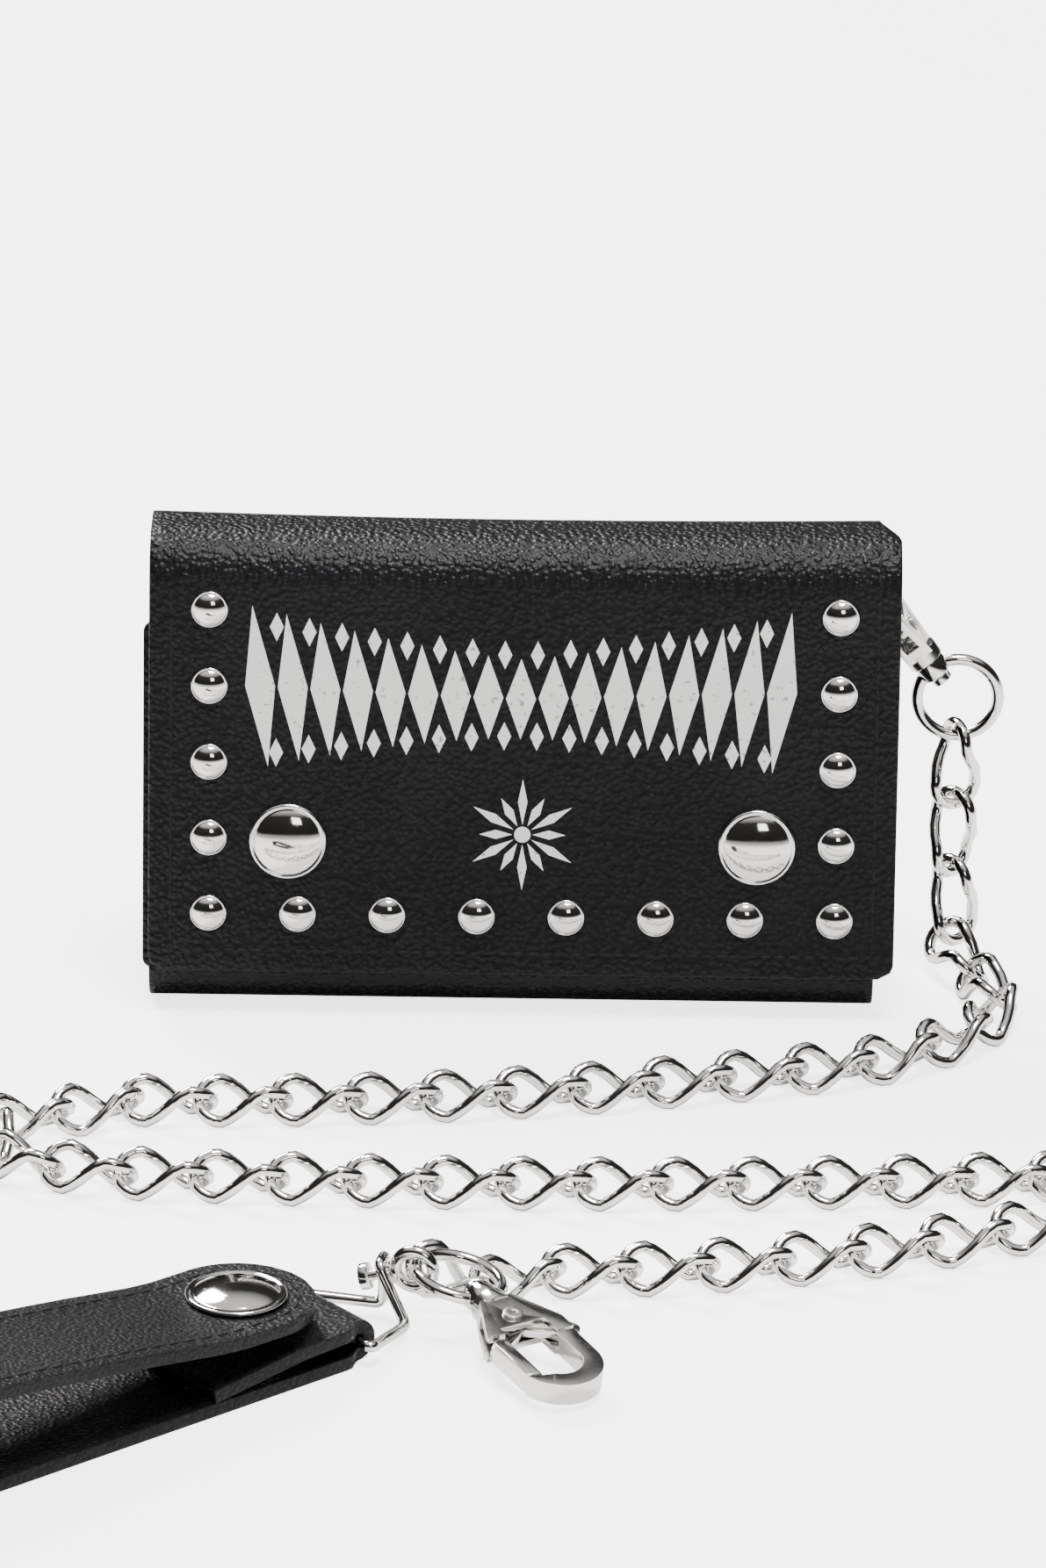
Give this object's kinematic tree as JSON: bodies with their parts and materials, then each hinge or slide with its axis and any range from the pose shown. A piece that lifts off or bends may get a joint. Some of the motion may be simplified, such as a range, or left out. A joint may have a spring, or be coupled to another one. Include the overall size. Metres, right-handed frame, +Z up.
{
  "type": "chain wallet",
  "caption": "Black leather trifold chain wallet with dome studs and snap flap, curb chain, swivel clip hooks and a snap belt strap.",
  "frame": {"origin": "middle of the flat lower fold that the wallet stands on", "axes": "+Z up, -Y towards the studded flap, +X towards the side the chain hangs on"},
  "size_m": [0.2029, 0.2201, 0.0765],
  "materials": {
    "leather_outer": "pebbled satin black",
    "leather_inner": "smooth satin black",
    "lining_cloth": "woven black",
    "nickel_bright": "polished nickel",
    "nickel_cast": "polished die cast",
    "snap_steel": "plated steel",
    "window_clear": "clear flexible vinyl"
  },
  "bodies": {
    "back": {"back_leather": "leather_outer", "back_lining": "lining_cloth", "bill_divider": "lining_cloth", "card_base": "leather_inner", "card_pocket_low": "leather_inner", "card_pocket_mid": "leather_inner", "card_pocket_high": "leather_inner", "gusset_left": "leather_inner", "gusset_right": "leather_inner", "eyelet": "nickel_bright", "eyelet_washer": "snap_steel"},
    "flap": {"flap_leather": "leather_outer", "flap_lining": "lining_cloth", "dome_studs_left": "nickel_bright", "dome_studs_right": "nickel_bright", "dome_studs_bottom": "nickel_bright", "snap_cap_left": "nickel_bright", "snap_cap_right": "nickel_bright", "snap_socket_left": "snap_steel", "snap_socket_right": "snap_steel"},
    "panel": {"panel_leather": "leather_outer", "panel_lining": "lining_cloth", "id_frame": "leather_inner", "id_window": "window_clear", "snap_stud_left": "snap_steel", "snap_stud_right": "snap_steel"},
    "hook_a": {"hook_a_body": "nickel_cast", "hook_a_pin": "snap_steel", "hook_a_spring": "snap_steel"},
    "hook_a_lever": {"hook_a_gate": "nickel_cast"},
    "hook_a_ring": {"ring_a": "nickel_bright"},
    "chain_a": {"chain_drop": "nickel_bright"},
    "chain_b": {"chain_run_back": "nickel_bright"},
    "chain_left": {"chain_turn_left": "nickel_bright"},
    "chain_c": {"chain_run_middle": "nickel_bright"},
    "chain_right": {"chain_turn_right": "nickel_bright"},
    "chain_d": {"chain_run_front": "nickel_bright"},
    "hook_b_ring": {"ring_b": "nickel_bright"},
    "hook_b": {"hook_b_body": "nickel_cast", "hook_b_pin": "snap_steel", "hook_b_spring": "snap_steel"},
    "hook_b_lever": {"hook_b_gate": "nickel_cast"},
    "belt_frame": {"belt_ring": "nickel_bright"},
    "belt_post": {"belt_swivel": "nickel_bright"},
    "strap": {"strap_base": "leather_outer", "strap_stud": "snap_steel"},
    "strap_upper": {"strap_top": "leather_outer", "strap_cap": "nickel_bright", "strap_socket": "snap_steel"}
  },
  "joints": [
    {"name": "flap_open", "type": "hinge", "parent": "back", "child": "flap", "pos_m": [0, 0.0003, 0.0765], "axis": [-1, 0, 0], "range_deg": [0, 180]},
    {"name": "panel_open", "type": "hinge", "parent": "back", "child": "panel", "pos_m": [0, -0.01397, 0.0066], "axis": [1, 0, 0], "range_deg": [0, 36]},
    {"name": "hook_a_swing", "type": "hinge", "parent": "back", "child": "hook_a", "pos_m": [0.0514, 0.0079, 0.0678], "axis": [0, 1, 0], "range_deg": [0, 2]},
    {"name": "hook_a_press", "type": "hinge", "parent": "hook_a", "child": "hook_a_lever", "pos_m": [0.05987, 0.0079, 0.05727], "axis": [-0.7772, 0, -0.6292], "range_deg": [0, 10], "stiffness_Nm_per_rad": 0.01, "springref_deg": -17.19},
    {"name": "hook_a_swivel", "type": "hinge", "parent": "hook_a", "child": "hook_a_ring", "pos_m": [0.0639, 0.0079, 0.0523], "axis": [-0.6292, 0, 0.7772], "range_deg": [-3, 4]},
    {"name": "chain_a_turn", "type": "hinge", "parent": "back", "child": "chain_a", "pos_m": [0.0692, 0.0079, 0.04], "axis": [0, 0, 1], "range_deg": [0, 12]},
    {"name": "chain_b_turn", "type": "hinge", "parent": "chain_a", "child": "chain_b", "pos_m": [0.0761, -0.0153, 0.0035], "axis": [0, 0, 1], "range_deg": [0, 15]},
    {"name": "left_bend_in", "type": "hinge", "parent": "chain_b", "child": "chain_left", "pos_m": [-0.0805, -0.0683, 0.0035], "axis": [0, 0, -1], "range_deg": [0, 30]},
    {"name": "left_bend_out", "type": "hinge", "parent": "chain_left", "child": "chain_c", "pos_m": [-0.08075, -0.0794, 0.0035], "axis": [0, 0, -1], "range_deg": [0, 30]},
    {"name": "right_bend_in", "type": "hinge", "parent": "chain_c", "child": "chain_right", "pos_m": [0.0901, -0.0802, 0.0035], "axis": [0, 0, 1], "range_deg": [0, 20]},
    {"name": "right_bend_out", "type": "hinge", "parent": "chain_right", "child": "chain_d", "pos_m": [0.0935, -0.091, 0.0035], "axis": [0, 0, 1], "range_deg": [0, 20]},
    {"name": "ring_b_turn", "type": "hinge", "parent": "chain_d", "child": "hook_b_ring", "pos_m": [-0.0116, -0.1244, 0.0086], "axis": [0, 0, 1], "range_deg": [-6, 8]},
    {"name": "hook_b_swivel", "type": "hinge", "parent": "hook_b_ring", "child": "hook_b", "pos_m": [-0.004, -0.1367, 0.0065], "axis": [0.5385, -0.8292, -0.1495], "continuous": true},
    {"name": "hook_b_press", "type": "hinge", "parent": "hook_b", "child": "hook_b_lever", "pos_m": [-0.00055, -0.142, 0.00554], "axis": [0.0814, -0.1254, 0.9888], "range_deg": [0, 25], "stiffness_Nm_per_rad": 0.01, "springref_deg": -17.19},
    {"name": "belt_frame_turn", "type": "hinge", "parent": "hook_b_ring", "child": "belt_frame", "pos_m": [-0.0149, -0.13, 0.007], "axis": [0, 0, 1], "range_deg": [-10, 15]},
    {"name": "belt_post_turn", "type": "hinge", "parent": "belt_frame", "child": "belt_post", "pos_m": [-0.0196, -0.129, 0.0076], "axis": [0.9427, -0.2107, 0.2588], "range_deg": [-8, 8]},
    {"name": "strap_lift", "type": "hinge", "parent": "belt_frame", "child": "strap", "pos_m": [-0.02923, -0.13519, 0.0032], "axis": [-0.6468, 0.7627, 0], "range_deg": [0, 60]},
    {"name": "strap_unsnap", "type": "hinge", "parent": "strap", "child": "strap_upper", "pos_m": [-0.09268, -0.18901, 0.017], "axis": [0.6468, -0.7627, 0], "range_deg": [0, 80]}
  ],
  "couplings": [
    {"joint": "panel_open", "follows": "flap_open", "ratio": 0.2},
    {"joint": "left_bend_out", "follows": "left_bend_in", "ratio": 1},
    {"joint": "right_bend_out", "follows": "right_bend_in", "ratio": 1}
  ]
}
